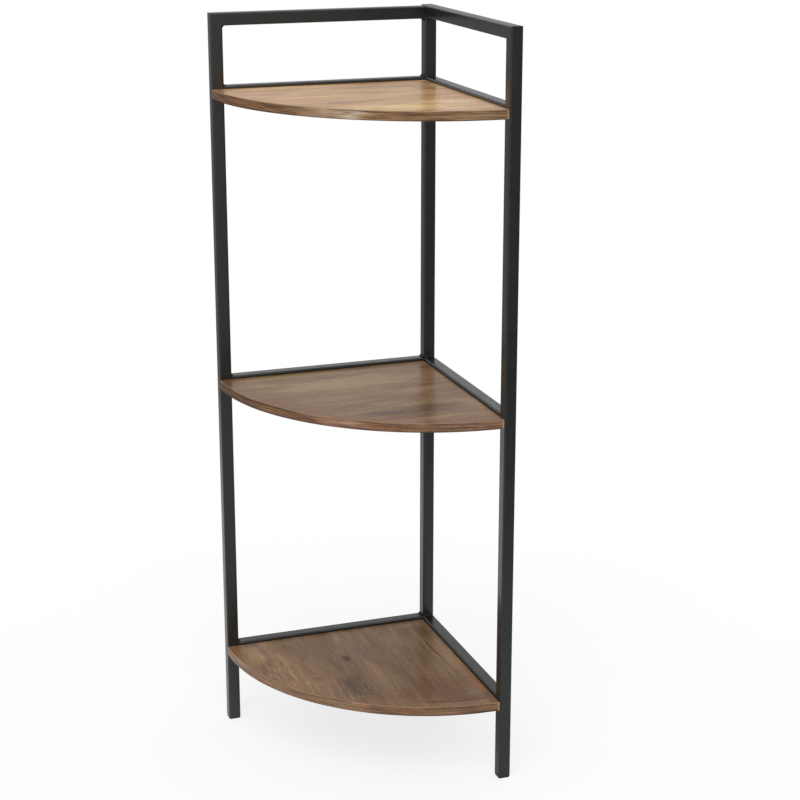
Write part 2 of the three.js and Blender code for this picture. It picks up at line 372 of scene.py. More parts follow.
powder_black = powder_coat("black_powder_coat", specular_level=0.9, roughness=(0.22, 0.3))
weld_black = powder_coat("black_powder_coat_on_welds", specular_level=0.3, roughness=(0.5, 0.65))
print("finishes:", powder_black.name, weld_black.name)

# %% [markdown]
# ## Square tube
# Posts and rails are one stock tube, 16 mm square with a thin wall and small rounded corners. A block
# could stand for it, but the rounded corners carry the thin bright lines that tell the eye that it is
# steel. So each tube starts as a block without ends, its four long edges are bevelled, and the shell
# gets its wall inwards. A mitred end is made too long and then bisected on the slope.

# %% Sizes of the tube
left_low, left_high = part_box("left_post")
back_low, back_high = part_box("back_post")
right_low, right_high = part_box("right_post")
TUBE = left_high.x - left_low.x
TUBE_WALL = 0.0012
TUBE_CORNER = 0.002
CORNER_STEPS = 5
MITRE_SPARE = 0.003  # extra length that the mitre cut takes off
RIGHT_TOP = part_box("right_top_rail")[1].z
LEFT_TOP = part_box("left_top_rail")[1].z
print("tube:", round(TUBE, 4), "tops:", round(LEFT_TOP, 4), round(RIGHT_TOP, 4))


# %% Making a tube
def square_tube(name, low, high, axis, mitres=()):
    """Each mitre is a point on its slope and the direction that is cut away."""
    tube = add_block(name, low, high)
    edit_mode()
    pick(tube, "faces", lambda face: abs(face.normal[axis]) > FACING)
    bpy.ops.mesh.delete(type="FACE")
    pick(tube, "edges", lambda edge: runs_along(edge, axis))
    bevel(TUBE_CORNER, CORNER_STEPS)
    object_mode()
    apply_modifier(tube, "SOLIDIFY", thickness=TUBE_WALL, offset=-1, use_even_offset=True)
    for point, away in mitres:
        work_on(tube)
        edit_mode()
        pick_all()
        bpy.ops.mesh.bisect(plane_co=point, plane_no=away.normalized(), clear_outer=True, use_fill=False)
        bpy.ops.mesh.bridge_edge_loops()
        object_mode()
    return tube


# %% Posts
POSTS = {
    "left_post": (left_low, left_high, -X_DIR, LEFT_TOP),
    "back_post": (back_low, back_high, Y_DIR, RIGHT_TOP),
    "right_post": (right_low, right_high, -Y_DIR, RIGHT_TOP),
}
posts = {}
for node, (low, high, outwards, top) in POSTS.items():
    outer = Vector((low.x if outwards.x < 0 else high.x, low.y if outwards.y < 0 else high.y, top))
    high = Vector((high.x, high.y, top + MITRE_SPARE))
    posts[node] = square_tube(node + "_tube", low, high, Z_AXIS, [(outer, UP - outwards)])
report("posts", posts.values())

# %% Rails
rails = {}
INNER_X, INNER_Y = left_high.x, right_high.y  # the post faces that the rails run between
for shelf in ("lower", "middle", "upper"):
    for side, axis, inner in (("left", X_AXIS, INNER_X), ("right", Y_AXIS, INNER_Y)):
        node = f"{side}_{shelf}_shelf_rail"
        low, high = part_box(node)
        middle = (low.z + high.z) / 2
        low.z, high.z = middle - TUBE / 2, middle + TUBE / 2
        low[axis], high[axis] = inner, back_low[axis]
        rails[node] = square_tube(node + "_tube", low, high, axis)

low = Vector((left_low.x - MITRE_SPARE, left_low.y, LEFT_TOP - TUBE))
high = Vector((back_low.x, left_high.y, LEFT_TOP))
mitres = [(Vector((left_low.x, 0, LEFT_TOP)), -X_DIR - UP)]
rails["left_top_rail"] = square_tube("left_top_rail_tube", low, high, X_AXIS, mitres)

low = Vector((right_low.x, right_low.y - MITRE_SPARE, RIGHT_TOP - TUBE))
high = Vector((right_high.x, back_high.y + MITRE_SPARE, RIGHT_TOP))
ends = ((right_low.y, -Y_DIR), (back_high.y, Y_DIR))
mitres = [(Vector((0, end, RIGHT_TOP)), outwards - UP) for end, outwards in ends]
rails["right_top_rail"] = square_tube("right_top_rail_tube", low, high, Y_AXIS, mitres)
report("rails", rails.values())

# %% [markdown]
# ## Welds
# Each rail is welded to its posts. Above and below it the weld is a hollow fillet with the small ripples
# that the torch leaves. At the sides, where the post's rounded corner leaves a groove beside the end of
# the rail, a thin bead fills the groove. Both are modelled once at the origin, with the two legs along
# +X and +Y and the run along Z, and then copied into each corner and joined to their rail by a boolean.

# %% Modelling the two welds
WELD_LEG = 0.003
WELD_ROOT = 0.0003  # how far a weld reaches into the tube that it sits on
WELD_RINGS = 15
WELD_RIPPLE = 0.00016
WELD_HOLLOW = 0.14  # the profile of its bevel
HOLLOW_SHARE, HOLLOW_STEPS = 0.95, 5  # how much of the legs the hollow takes
FACE_MARGIN = 0.02  # the open face starts this share of a leg away from the tubes
WELD_TAPER = 0.8  # the weld is thinner at both ends of its run
SEAM_RADIUS = 0.00055
SEAM_SIDES = 12
SEAM_WAIST = 0.86  # between two ripples the bead is thinner
FLAT = TUBE - 2 * TUBE_CORNER  # the flat part of a tube's face


def ring_of(vert, length):
    """Which ring along the run a vertex belongs to."""
    return round((vert.co.z / length + 0.5) * WELD_RINGS)


def cut_rings(weld):
    pick(weld, "edges", lambda edge: runs_along(edge, Z_AXIS))
    bpy.ops.mesh.subdivide(number_cuts=WELD_RINGS - 1)


def fillet_weld(name, leg, length):
    weld = add_block(name, (-WELD_ROOT, -WELD_ROOT, -length / 2), (leg, leg, length / 2))
    edit_mode()
    cut_rings(weld)
    outer = lambda edge: runs_along(edge, Z_AXIS) and min(middle_of(edge).xy) > leg - NEAR
    pick(weld, "edges", outer)
    bevel(leg * HOLLOW_SHARE, HOLLOW_STEPS, WELD_HOLLOW)
    open_face = lambda vert: min(vert.co.xy) > leg * FACE_MARGIN
    pick(weld, "verts", lambda vert: open_face(vert) and ring_of(vert, length) % 2)
    bpy.ops.transform.translate(value=(WELD_RIPPLE, WELD_RIPPLE, 0))
    pick(weld, "verts", lambda vert: open_face(vert) and ring_of(vert, length) in (0, WELD_RINGS))
    widen(WELD_TAPER)
    object_mode()
    return weld


def seam_weld(name, length):
    start_clean()
    bpy.ops.mesh.primitive_cylinder_add(vertices=SEAM_SIDES, radius=SEAM_RADIUS, depth=length)
    seam = take_primitive(name)
    edit_mode()
    cut_rings(seam)
    pick(seam, "verts", lambda vert: ring_of(vert, length) % 2)
    widen(SEAM_WAIST)
    object_mode()
    return seam


fillet_pattern = fillet_weld("fillet_weld_pattern", WELD_LEG, FLAT)
seam_pattern = seam_weld("seam_weld_pattern", FLAT)
report("weld patterns", [fillet_pattern, seam_pattern])

# %% Laying the welds in their corners
SEAM_BACK, SEAM_UNDER = 0.6, 1.02  # radii from the rail's end, and under its face, to the bead's middle


def rail_end_welds(end, into_rail, fillets, grooves):
    """end is the middle of the rail's end face. The lists hold the directions of its welds."""
    copies = []
    for outwards in fillets:
        matrix = corner_matrix(end + outwards * (TUBE / 2), into_rail, outwards)
        copies.append(placed_copy(fillet_pattern, "weld", matrix))
    for outwards in grooves:
        face = end + outwards * (TUBE / 2)
        place = face - into_rail * (SEAM_RADIUS * SEAM_BACK) - outwards * (SEAM_RADIUS * SEAM_UNDER)
        copies.append(placed_copy(seam_pattern, "weld", corner_matrix(place, into_rail, outwards)))
    return copies


def weld_on(rail, welds):
    start_clean()
    for weld in welds:
        weld.select_set(True)
    bpy.context.view_layer.objects.active = welds[0]
    bpy.ops.object.join()
    combine(rail, welds[0], "UNION")


# %% Welding the rails
POST_LINE = (back_low.x + back_high.x) / 2
for node, rail in rails.items():
    is_left, is_top = node.startswith("left"), "top" in node
    along, wall_side = (X_DIR, Y_DIR) if is_left else (Y_DIR, X_DIR)
    low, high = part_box(node)
    middle_z = (LEFT_TOP if is_left else RIGHT_TOP) - TUBE / 2 if is_top else (low.z + high.z) / 2
    line = wall_side * POST_LINE + UP * middle_z
    near_end = line + along * (INNER_X if is_left else INNER_Y)
    far_end = line + along * back_low.x
    fillets = [-UP] if is_top else [UP, -UP]
    near_grooves = [] if is_top else [wall_side, -wall_side]
    far_grooves = [wall_side] if not is_top or is_left else []
    welds = rail_end_welds(near_end, along, fillets, near_grooves)
    welds += rail_end_welds(far_end, -along, fillets, far_grooves)
    weld_on(rail, welds)
clear_away(fillet_pattern, seam_pattern)
report("welded rails", rails.values())

# %% Finishing posts and rails
def coat_welds(rail):
    """The fillets are what stands out above and below the rail's tube."""
    is_flat = lambda face: abs(face.normal.z) > STRAIGHT and face.area > FLAT**2
    heights = [face.center.z for face in rail.data.polygons if is_flat(face)]
    rail.data.materials.append(weld_black)
    for face in rail.data.polygons:
        if not min(heights) - NEAR < face.center.z < max(heights) + NEAR:
            face.material_index = 1


for node, tube in {**posts, **rails}.items():
    smooth_corners(tube)
    finished(tube, node, powder_black)
for rail in rails.values():
    coat_welds(rail)
print("tubes finished:", len(posts) + len(rails))

# %% [markdown]
# ## Shelf boards
# A board is a quarter of a disc, 12 mm thick, pressed from wood chips and covered with a printed oak
# decor. It could be spun from a profile, but a spin ends in a pinched pole at the corner. A full disc
# with two straight bisects has no pole. Its sharp edges are then broken by a fine bevel, as the saw
# and the sander leave them. Four blind holes in the underside are drilled for the screws.

# %% Sizes of the boards
SHELVES = ("lower", "middle", "upper")
core_low, core_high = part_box("upper_shelf_board")
band_low, band_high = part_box("upper_shelf_edge_band")
BOARD_CORNER = Vector((core_high.x, core_high.y, 0))
CORE_RADIUS = core_high.x - core_low.x
BAND_RADIUS = band_high.x - band_low.x
EDGE_BREAK = 0.00025
ARC_STEPS = 96
PILOT_RADIUS = 0.00205
PILOT_DEPTH = 0.0095
PILOT_START = 0.001  # the drill starts this far below the board
print("board radius:", round(CORE_RADIUS, 4), "with its band:", round(BAND_RADIUS, 4))


# %% Modelling the boards
def quarter_board(name, low_z, high_z):
    start_clean()
    middle = BOARD_CORNER + UP * ((low_z + high_z) / 2)
    bpy.ops.mesh.primitive_cylinder_add(
        vertices=4 * ARC_STEPS, radius=CORE_RADIUS, depth=high_z - low_z, location=middle)
    board = take_primitive(name)
    edit_mode()
    for away in (X_DIR, Y_DIR):
        pick_all()
        bpy.ops.mesh.bisect(plane_co=BOARD_CORNER, plane_no=away, clear_outer=True, use_fill=True)
    round_rims(board, EDGE_BREAK, steps=2)
    object_mode()
    return board


def drill_pilots(board, shelf, low_z):
    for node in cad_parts:
        if node.startswith(shelf) and node.endswith("_screw"):
            screw_low, screw_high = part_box(node)
            place = (screw_low + screw_high) / 2
            place.z = low_z + (PILOT_DEPTH - PILOT_START) / 2
            pierce(board, PILOT_RADIUS, place, PILOT_DEPTH + PILOT_START)


boards = {}
for shelf in SHELVES:
    low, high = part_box(f"{shelf}_shelf_board")
    boards[shelf] = quarter_board(f"{shelf}_board", low.z, high.z)
    drill_pilots(boards[shelf], shelf, low.z)
report("boards", boards.values())

# %% [markdown]
# ## Edge bands
# The round edge is covered by a 1 mm strip that is glued on and trimmed flush, with its two long edges
# rounded by the trimmer. The strip's decor runs along it, so it gets a UV map measured in metres along
# the arc and up the strip. Spinning the strip's small rectangle round the board's corner gives a clean
# grid for that.

# %% Modelling the edge bands
BAND_THICKNESS = 0.001
BAND_ROUND = 0.00045
QUARTER = math.pi / 2


def edge_band(name, low_z, high_z):
    start_clean()
    outer_x = BOARD_CORNER.x - BAND_RADIUS
    middle = Vector((outer_x + BAND_THICKNESS / 2, BOARD_CORNER.y, (low_z + high_z) / 2))
    bpy.ops.mesh.primitive_plane_add(size=1, location=middle, rotation=(QUARTER, 0, 0))
    bpy.context.object.scale = (BAND_THICKNESS, high_z - low_z, 1)
    band = take_primitive(name)
    edit_mode()
    pick(band, "verts", lambda vert: vert.co.x < outer_x + NEAR)
    bevel(BAND_ROUND, steps=3, affect="VERTICES")
    pick_all()
    bpy.ops.mesh.spin(steps=ARC_STEPS, angle=-QUARTER, center=BOARD_CORNER, axis=UP)
    pick_all()
    bpy.ops.mesh.remove_doubles(threshold=NEAR / 2)
    bpy.ops.mesh.normals_make_consistent(inside=False)
    object_mode()
    return band


def lay_out_band(band, low_z):
    """Writes the UV map: metres along the arc from the left tip, and metres up from the lower edge."""
    layer = band.data.uv_layers.new(name="along_band")
    for loop in band.data.loops:
        place = band.data.vertices[loop.vertex_index].co - BOARD_CORNER
        angle = math.atan2(-place.y, -place.x)
        layer.data[loop.index].uv = (angle * BAND_RADIUS, place.z - low_z)


bands = {}
for shelf in SHELVES:
    low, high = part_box(f"{shelf}_shelf_edge_band")
    bands[shelf] = edge_band(f"{shelf}_band", low.z, high.z)
    lay_out_band(bands[shelf], low.z)
report("bands", bands.values())

# %% [markdown]
# ## Rustic oak decor
# The boards carry a printed oak pattern under a satin film: broad light and dark zones, streaks and fine
# fibres along the grain, short dark pores, and a few cracks and a knot. An image would repeat, so the
# pattern is made from noise. Each layer is the same noise stretched to another length along the grain
# and another width across it, in millimetres, and the layers multiply. What makes each board its own,
# such as a crack or a warm tip, is placed one by one on top.

# %% Helpers for a pattern along the grain
MM = 1000.0  # from metres to millimetres
GRAIN_DEPTH = 45.0  # how slowly the pattern changes through the board
SWAY_GRAIN = (130, 60)  # along and across


def grains(place, along, across, detail=2.0, roughness=0.5):
    """Noise whose grains measure this many millimetres along and across."""
    stretched = vector_math("MULTIPLY", place, (1 / along, 1 / across, 1 / GRAIN_DEPTH))
    return noise(stretched, 1.0, detail, roughness)


def swaying(place, reach):
    """The grain doesn't run straight: it sways across by up to this many millimetres."""
    across = (grains(place, *SWAY_GRAIN) - 0.5) * (2 * reach)
    return vector_math("ADD", place, node_after("ShaderNodeCombineXYZ", {"Y": across}))


def distance_from(place, centre, reach=(1, 1)):
    """The distance from the centre, measured in reaches along X and Y."""
    offset = vector_math("SUBTRACT", place, (*centre, 0))
    return vector_math("LENGTH", vector_math("MULTIPLY", offset, (1 / reach[0], 1 / reach[1], 0)))


# %% Marks that are placed one by one
PATCH_GRAIN, PATCH_RAG = (30, 9, 4.0, 0.6), 1.1  # the noise in a patch's outline, and how ragged it is
PATCH_EDGE, PATCH_CORE = 1.05, 0.25  # where a patch ends and where it is full, in reaches
LINE_GRAIN, LINE_FADE = (34, 900, 3.0), 14  # the noise in a line's course, and how long its ends are
LINE_CORE = 0.3  # the share of a line's width that is full
RING_GRAIN, RING_RAG = (14, 30, 3.0), 2.6


def patch(place, centre, reach):
    """A soft uneven spot: 1 at its centre, 0 outside its reach."""
    uneven = (grains(place, *PATCH_GRAIN) - 0.5) * PATCH_RAG
    return fade(distance_from(place, centre, reach) + uneven, PATCH_EDGE, PATCH_CORE)


def grain_line(place, across, lean, start, end, width, sway):
    """A thin line along the grain, from start to end, that sways, and leans by so much a millimetre."""
    along_place, across_place, _ = parts_of(place)
    leaning = math_node("MULTIPLY_ADD", along_place, lean, across - lean * (start + end) / 2)
    course = (grains(place, *LINE_GRAIN) - 0.5) * (2 * sway) + leaning
    line = fade(math_node("ABSOLUTE", across_place - course), width, width * LINE_CORE)
    ends = fade(along_place, start, start + LINE_FADE) * fade(along_place, end, end - LINE_FADE)
    return line * ends


def rings_round(place, centre, stretch, spacing):
    """Light and dark growth rings round a point, stretched along Y, as on a cathedral figure."""
    uneven = grains(place, *RING_GRAIN) * (RING_RAG * spacing)
    turns = (distance_from(place, centre, (1, stretch)) + uneven) / (spacing / math.tau)
    return math_node("MULTIPLY_ADD", math_node("SINE", turns), 0.5, 0.5)


# %% The layers of the oak print
# Each grain is millimetres along and across, detail and roughness. Shades multiply the colour.
TONE_GRAIN, TONE_STOPS = (110, 24, 4.0, 0.55), (0.32, 0.44, 0.56, 0.68)
HUE_GRAIN, HUE_SHADES = (90, 26, 2.0, 0.5), [(0.36, (1.035, 1.0, 0.89)), (0.64, (0.985, 0.985, 1.05))]
STREAK_GRAIN, STREAK_SHADES = (52, 4.2, 5.0, 0.62), [(0.3, 0.74), (0.5, 1.0), (0.68, 1.15)]
VEIN_GRAIN, VEIN_SHADES = (26, 1.4, 3.0, 0.6), [(0.26, 0.42), (0.42, 0.95), (0.7, 1.1)]
VEINY_GRAIN, VEINY, LEAST_VEINS = (90, 22, 2.0), (0.4, 0.62), 0.3  # where the veins show more
FIBRE_GRAIN, FIBRE_SHADES = (13, 0.55, 2.0), (0.86, 1.1)
DASH_GRAIN, DASHES = (17, 1.2, 2.0), (0.52, 0.38)
PORE_GRAIN, PORES, POROUS, PORE_SHARE = (6.5, 0.42, 1.0), (0.58, 0.72), (0.6, 0.38), 0.6
RING_SHARPNESS, RING_LIGHT = 14.0, (1.6, 1.5, 1.35)
OPEN_GRAIN = (0.06, 0.04, 0.03)
DARK_CRACK = (0.03, 0.016, 0.01)
RIM_STAIN = (0.07, 0.026, 0.012)
LIGHT_VEIN = (1.65, 1.66, 1.66)  # how much lighter than the wood beside it
RIM_START, RIM_END, RIM_SHARE = 250, 286, 0.9  # millimetres from the board's corner
STAIN_GRAIN, STAIN_RAG, STAIN_WIDTH = (25, 25, 3.0), 3.0, (2.4, 0.8)
OAK_SWAY, LIGHT_LINE_SWAY, CRACK_SWAY = 9, 5.0, 2.5
CRACK_LIGHT_SIDE, CRACK_LIGHT_WIDTH, CRACK_LIGHT_SHARE = 2.2, 1.2, 0.8  # the lighter line beside it
GLOSS_GRAIN, OAK_GLOSS = (60, 12, 3.0), (0.22, 0.3)
SATIN = 0.15  # the film mirrors less than bare varnish
FIBRE_HEIGHT = 0.4
FILM_STRENGTH, FILM_DEPTH = 0.3, 0.00004
print("oak fibres:", *FIBRE_GRAIN[:2], "mm, pores:", *PORE_GRAIN[:2], "mm")


# %% Oak decor
def printed_wood(place, board, design):
    """The colour of the print before its marks, and the signals that the marks read."""
    tone = grains(place, *TONE_GRAIN)
    colour = ramp(tone, list(zip(TONE_STOPS, design["tones"])))
    colour = times(colour, ramp(grains(place, *HUE_GRAIN), HUE_SHADES))
    for centre, reach, tint, strength in design["patches"]:
        colour = blend_colours(patch(board, centre, reach) * strength, colour, tint)
    radius = distance_from(board, BOARD_CORNER.xy * MM)
    rim = fade(radius, RIM_START, RIM_END) * (tone * RIM_SHARE)
    colour = blend_colours(rim, colour, design["rim"])

    streaks = grains(place, *STREAK_GRAIN)
    colour = blend_colours(design["streakiness"], colour, ramp(streaks, STREAK_SHADES), "MULTIPLY")
    veiny = fade(grains(place, *VEINY_GRAIN), *VEINY)
    shown = ramp(veiny, [(0.0, LEAST_VEINS), (1.0, 1.0)]) * design["streakiness"]
    veins = ramp(grains(place, *VEIN_GRAIN), VEIN_SHADES)
    colour = blend_colours(shown, colour, veins, "MULTIPLY")
    fibres = grains(place, *FIBRE_GRAIN)
    colour = times(colour, varied(fibres, *FIBRE_SHADES))
    return colour, radius, streaks, fibres


def lined(colour, straight, design):
    """Adds the light lines, and the cracks with a lighter line beside each."""
    for *line, strength in design.get("light_lines", ()):
        mark = grain_line(straight, *line, LIGHT_LINE_SWAY) * strength
        colour = blend_colours(mark, colour, LIGHT_VEIN, "MULTIPLY")
    for across, lean, start, end, width, strength in design.get("cracks", ()):
        beside = grain_line(straight, across + CRACK_LIGHT_SIDE, lean, start, end,
                            width * CRACK_LIGHT_WIDTH, CRACK_SWAY)
        colour = blend_colours(beside * (strength * CRACK_LIGHT_SHARE), colour, LIGHT_VEIN, "MULTIPLY")
        mark = grain_line(straight, across, lean, start, end, width, CRACK_SWAY)
        colour = blend_colours(mark * strength, colour, DARK_CRACK)
    return colour


def oak_decor(name, design):
    material, tree, shader = new_finish(name)
    shader.inputs["Specular IOR Level"].default_value = SATIN
    board = mapped(tree, scale=(MM, MM, MM))
    turn = -QUARTER if design["grain"] == "Y" else 0.0
    straight = mapped(tree, rotation=(0, 0, turn), scale=(MM, MM, MM))
    place = swaying(straight, OAK_SWAY)
    colour, radius, streaks, fibres = printed_wood(place, board, design)

    for centre, stretch, spacing, reach, strength in design.get("rings", ()):
        rings = math_node("POWER", rings_round(board, centre, stretch, spacing), RING_SHARPNESS)
        light = rings * (patch(board, centre, reach) * strength)
        colour = blend_colours(light, colour, RING_LIGHT, "MULTIPLY")
    for centre, reach, strength in design["open_grain"]:
        dashes = fade(grains(place, *DASH_GRAIN), *DASHES)
        colour = blend_colours(dashes * (patch(board, centre, reach) * strength), colour, OPEN_GRAIN)
    pores = fade(grains(place, *PORE_GRAIN), *PORES) * fade(streaks, *POROUS)
    colour = blend_colours(pores * PORE_SHARE, colour, DARK_CRACK)
    colour = lined(colour, straight, design)
    for distance, centre, reach, strength in design.get("rim_stains", ()):
        offset = radius + grains(board, *STAIN_GRAIN) * STAIN_RAG - (distance + STAIN_RAG / 2)
        line = fade(math_node("ABSOLUTE", offset), *STAIN_WIDTH)
        colour = blend_colours(line * (patch(board, centre, reach) * strength), colour, RIM_STAIN)

    gloss = varied(grains(place, *GLOSS_GRAIN), *OAK_GLOSS)
    dress(shader, colour, gloss, fibres * FIBRE_HEIGHT - pores, FILM_STRENGTH, FILM_DEPTH)
    return material


# %% [markdown]
# ## Three boards, three shades
# The same decor comes in three shades: light tan on top, grey brown in the middle and a darker, greyer
# brown with more marks at the bottom. On the two upper boards the grain runs with the left frame, and on
# the lowest with the right one. Patches are given as centre, reach, colour and strength, in millimetres
# of the unit, and lines as place across the grain, lean, start, end, width and strength. Rings are given
# as centre, stretch, spacing, reach and strength, and a stain as its distance from the board's corner,
# then centre, reach and strength.

# %% The designs of the boards
DECORS = {
    "upper": {
        "grain": "X", "rim": (0.5, 0.29, 0.14), "streakiness": 0.9,
        "tones": [(0.48, 0.255, 0.115), (0.57, 0.325, 0.155), (0.63, 0.375, 0.185), (0.7, 0.44, 0.23)],
        "patches": [
            ((-60, 122), (110, 16), (0.88, 0.58, 0.32), 0.85),
            ((-147, 118), (10, 22), (0.16, 0.06, 0.025), 0.8),
            ((60, 90), (100, 20), (0.38, 0.2, 0.085), 0.7),
            ((112, 62), (26, 30), (0.33, 0.165, 0.065), 0.75),
            ((134, 110), (22, 26), (0.3, 0.15, 0.06), 0.7),
            ((-95, 62), (34, 16), (0.44, 0.25, 0.12), 0.5),
            ((-50, 25), (80, 18), (0.8, 0.52, 0.28), 0.5),
            ((-22, -32), (66, 12), (0.34, 0.18, 0.085), 0.7),
            ((85, -8), (44, 22), (0.42, 0.24, 0.11), 0.45),
            ((10, -92), (110, 36), (0.88, 0.62, 0.28), 0.85),
            ((90, -62), (52, 24), (0.88, 0.6, 0.32), 0.6),
            ((88, -122), (52, 14), (0.88, 0.6, 0.33), 0.6),
        ],
        "open_grain": [((-20, -36), (55, 10), 0.5), ((70, 92), (60, 14), 0.4)],
    },
    "middle": {
        "grain": "X", "rim": (0.19, 0.085, 0.04), "streakiness": 0.7,
        "tones": [(0.155, 0.085, 0.043), (0.205, 0.118, 0.06), (0.25, 0.149, 0.076), (0.31, 0.195, 0.102)],
        "patches": [
            ((-145, 118), (14, 22), (0.12, 0.05, 0.02), 0.8),
            ((-112, 92), (28, 14), (0.32, 0.195, 0.1), 0.6),
            ((10, 66), (125, 34), (0.35, 0.235, 0.12), 0.75),
            ((-50, 124), (120, 13), (0.31, 0.205, 0.095), 0.6),
            ((-100, 10), (28, 45), (0.185, 0.095, 0.045), 0.6),
            ((50, -78), (90, 34), (0.118, 0.058, 0.026), 0.75),
            ((8, -76), (36, 11), (0.095, 0.056, 0.042), 0.8),
            ((25, -104), (80, 12), (0.18, 0.08, 0.036), 0.6),
            ((122, 10), (22, 60), (0.155, 0.075, 0.025), 0.5),
            ((112, -122), (26, 10), (0.26, 0.14, 0.07), 0.6),
        ],
        "open_grain": [((-20, -40), (45, 18), 0.6), ((60, -20), (40, 40), 0.4)],
        "cracks": [
            (-32, 0.09, -42, 2, 1.7, 0.85),
            (-39, 0.03, -26, 16, 1.3, 0.6),
            (10, -0.05, -96, -52, 1.2, 0.5),
        ],
    },
    "lower": {
        "grain": "Y", "rim": (0.24, 0.138, 0.07), "streakiness": 0.6,
        "tones": [(0.129, 0.075, 0.044), (0.178, 0.107, 0.06), (0.215, 0.132, 0.074), (0.264, 0.168, 0.093)],
        "patches": [
            ((-95, 25), (45, 95), (0.3, 0.18, 0.09), 0.7),
            ((-124, 95), (15, 42), (0.38, 0.24, 0.125), 0.85),
            ((-146, 108), (9, 40), (0.2, 0.08, 0.018), 0.85),
            ((-45, 92), (38, 45), (0.155, 0.096, 0.062), 0.7),
            ((5, 55), (50, 60), (0.165, 0.1, 0.064), 0.6),
            ((-66, -40), (20, 40), (0.3, 0.19, 0.105), 0.6),
            ((-25, -44), (26, 50), (0.13, 0.073, 0.041), 0.65),
            ((-15, -92), (30, 12), (0.15, 0.078, 0.04), 0.6),
            ((16, -15), (11, 60), (0.28, 0.17, 0.082), 0.75),
            ((70, -90), (70, 50), (0.145, 0.067, 0.028), 0.65),
            ((120, 98), (14, 32), (0.1, 0.057, 0.014), 0.7),
            ((80, 12), (26, 75), (0.138, 0.08, 0.036), 0.7),
            ((126, 0), (11, 80), (0.29, 0.172, 0.08), 0.8),
            ((128, -85), (12, 40), (0.27, 0.125, 0.058), 0.7),
            ((105, -127), (42, 12), (0.1, 0.04, 0.014), 0.6),
            ((100, 124), (18, 12), (0.25, 0.155, 0.08), 0.6),
            ((-9, 43), (7, 16), (0.06, 0.03, 0.016), 0.9),
        ],
        "rings": [((-105, 20), 2.4, 14.0, (50, 105), 0.6)],
        "open_grain": [((-24, -48), (32, 50), 1.0), ((-110, 40), (40, 80), 0.5)],
        "light_lines": [
            (93, 0.15, 36, 94, 1.1, 1.0),
            (93, 0.1, -8, 40, 1.1, 0.9),
            (83, -0.09, -60, 8, 1.2, 1.0),
            (63, 0.06, -20, 62, 0.9, 0.6),
            (46.5, -0.09, -64, 10, 1.0, 0.9),
            (39.5, -0.08, -94, -40, 1.0, 1.0),
            (10, 0.01, -64, -12, 0.9, 0.8),
        ],
        "cracks": [
            (-112.5, 0.04, 2, 70, 1.5, 1.0),
            (-114, 0.04, -62, 12, 1.1, 0.4),
            (-53, -0.065, -116, 102, 0.9, 0.45),
            (-70, 0, -2, 29, 1.2, 0.8),
        ],
        "rim_stains": [(271, (82, -128), (62, 34), 0.8)],
    },
}
oak_finishes = {shelf: oak_decor(f"{shelf}_oak_decor", design) for shelf, design in DECORS.items()}
print("oak finishes:", sorted(finish.name for finish in oak_finishes.values()))

# %% [markdown]
# ## Edge band decor
# The strip on the round edge has its own printed pattern: reddish brown, with long thin streaks that run
# along it. On the two upper boards it is darker towards the left and has one pale stretch. It reads the
# strip's own UV map, in metres along the arc and up the strip, so that the streaks bend with the edge.

# %% The designs of the edge bands
# A zone is a distance along the arc in millimetres and a colour. The shift gives each strip other noise.
BAND_DESIGNS = {
    "upper": {
        "shift": 0,
        "zones": [(0, (0.16, 0.082, 0.042)), (110, (0.18, 0.094, 0.049)), (190, (0.205, 0.124, 0.07)),
                  (228, (0.31, 0.216, 0.144)), (262, (0.5, 0.39, 0.3)), (288, (0.29, 0.17, 0.095)),
                  (325, (0.185, 0.108, 0.056)), (370, (0.19, 0.112, 0.062)), (400, (0.25, 0.152, 0.088)),
                  (453, (0.205, 0.122, 0.068))],
    },
    "middle": {
        "shift": 700,
        "zones": [(0, (0.1, 0.055, 0.03)), (120, (0.15, 0.078, 0.045)), (205, (0.17, 0.096, 0.056)),
                  (245, (0.27, 0.165, 0.12)), (285, (0.185, 0.094, 0.052)), (453, (0.18, 0.11, 0.07))],
    },
    "lower": {
        "shift": 1400,
        "zones": [(0, (0.25, 0.168, 0.122)), (120, (0.21, 0.128, 0.084)), (260, (0.21, 0.125, 0.077)),
                  (330, (0.172, 0.098, 0.058)), (453, (0.168, 0.098, 0.059))],
    },
}
print("band designs:", *BAND_DESIGNS)

# %% Edge band finish
BAND_LENGTH = BAND_RADIUS * QUARTER * MM
BAND_TONE = (55, 7, 3.0)
BAND_DRIFT, BAND_RAG = 120, 3.0  # how far its noise moves the zones along, and the marks up
BAND_HUE, BAND_HUES = (80, 5, 2.0), [(0.36, (1.07, 0.96, 0.93)), (0.64, (0.96, 1.02, 0.95))]
BAR_GRAIN, BAR_SHADES = (62, 2.3, 3.0, 0.55), [(0.34, 0.55), (0.48, 0.96), (0.64, 1.35)]
BAND_STREAK, BAND_STREAKS = (24, 1.2, 3.0, 0.6), [(0.3, 0.45), (0.46, 0.98), (0.7, 1.35)]
BAND_FIBRE, BAND_FIBRES = (11, 0.45, 2.0), (0.85, 1.12)
# Marks by millimetres: painted shadow on the lower edge, stains and a painted highlight near the upper,
# paler ends
LOW_EDGE_SHADOW, LOW_SHADOW_SHADES = (0.2, 2.4), [(0.0, 0.4), (1.0, 1.0)]
STAINED_FROM, STAINED_HUE, STAINED_SHARE = (9.2, 10.0), (0.45, 0.55), 0.6
EDGE_HIGHLIGHT_FROM, PALE_ENDS, HIGHLIGHT_AND_PALE_SHARE = (11.0, 11.6), (3.5, 1.0), 0.5
HIGHLIGHT_AND_PALE_WOOD = (0.42, 0.28, 0.17)
BAND_GLOSS = (0.36, 0.44)
print("band length:", round(BAND_LENGTH, 1), "mm")


